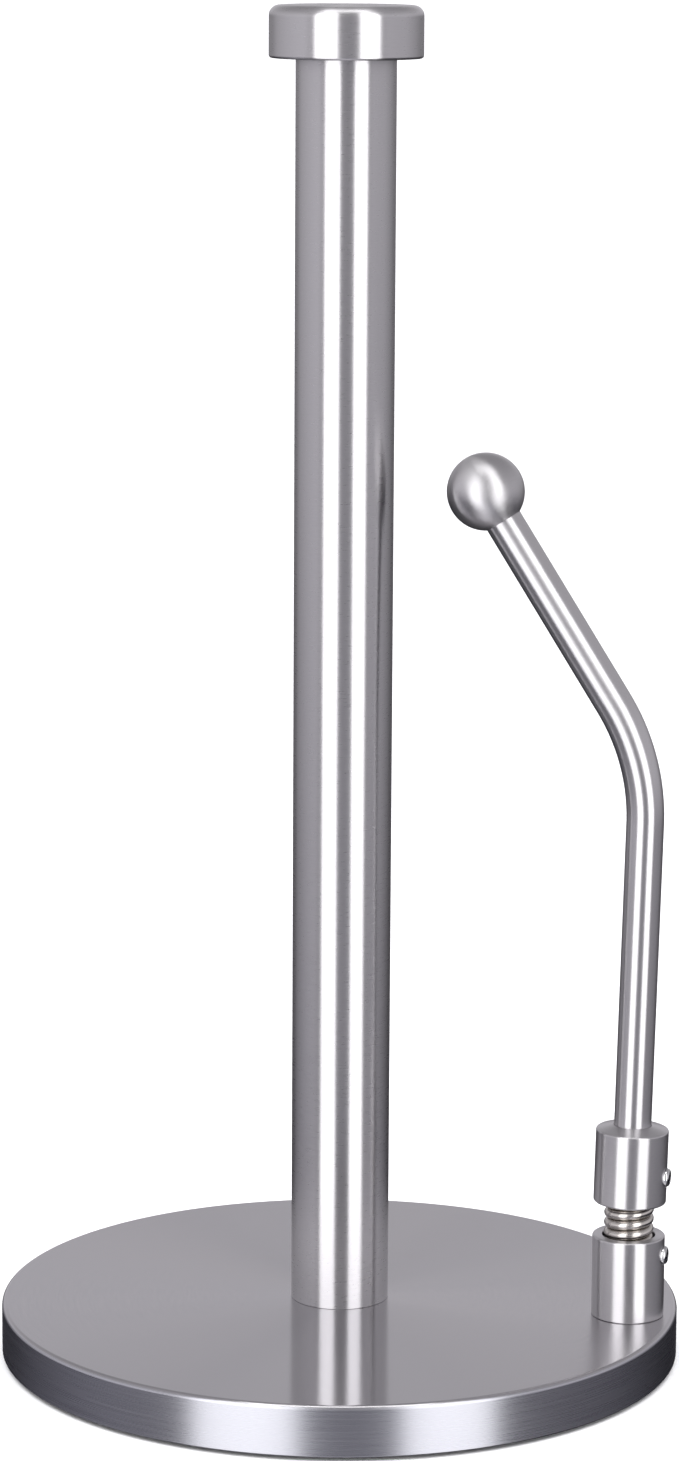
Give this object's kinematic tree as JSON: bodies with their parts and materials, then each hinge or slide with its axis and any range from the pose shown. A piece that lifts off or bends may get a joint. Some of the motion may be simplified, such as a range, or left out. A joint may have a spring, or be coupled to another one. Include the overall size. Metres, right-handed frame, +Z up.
{
  "type": "paper towel holder",
  "caption": "Upright paper towel holder: weighted round base, capped post, and a bent arm with a ball end that stands on a coil spring and presses on the roll.",
  "frame": {"origin": "centre of the base's underside, where it stands", "axes": "+Z up along the post, +X from the post towards the spring arm"},
  "size_m": [0.1744, 0.1744, 0.344],
  "materials": {
    "brushed_stainless": "brushed round the axis",
    "polished_steel": "polished",
    "spring_steel": "drawn wire, glossy",
    "zinc_plated_steel": "zinc plated",
    "cast_iron": "as cast, painted black",
    "rubber": "matte",
    "aluminium": "turned"
  },
  "bodies": {
    "base": {"base_shell": "brushed_stainless", "base_weight": "cast_iron", "non_slip_pad": "rubber", "post_tube": "brushed_stainless", "post_foot_plug": "zinc_plated_steel", "post_bolt": "zinc_plated_steel", "post_flat_washer": "zinc_plated_steel", "post_lock_washer": "zinc_plated_steel", "post_top_plug": "zinc_plated_steel", "cap_shell": "brushed_stainless", "cap_core": "aluminium", "cap_stud": "zinc_plated_steel", "lower_collar": "brushed_stainless", "collar_bolt": "zinc_plated_steel", "collar_flat_washer": "zinc_plated_steel", "collar_lock_washer": "zinc_plated_steel", "lower_set_screw": "polished_steel"},
    "spring": {"coil_spring": "spring_steel"},
    "arm": {"upper_collar": "brushed_stainless", "upper_set_screw": "polished_steel", "arm_rod": "brushed_stainless", "arm_ball": "brushed_stainless", "ball_stud": "zinc_plated_steel"}
  },
  "joints": [
    {"name": "arm_tilt", "type": "hinge", "parent": "base", "child": "spring", "pos_m": [0.075, 0, 0.03737], "axis": [0, 1, 0], "range_deg": [-4, 20], "stiffness_Nm_per_rad": 3, "springref_deg": 0.32, "deforming": ["coil_spring"]},
    {"name": "arm_sway", "type": "hinge", "parent": "spring", "child": "arm", "pos_m": [0.07505, 0, 0.04172], "axis": [1, 0, 0], "range_deg": [-15, 15], "stiffness_Nm_per_rad": 3, "deforming": ["coil_spring"]}
  ]
}
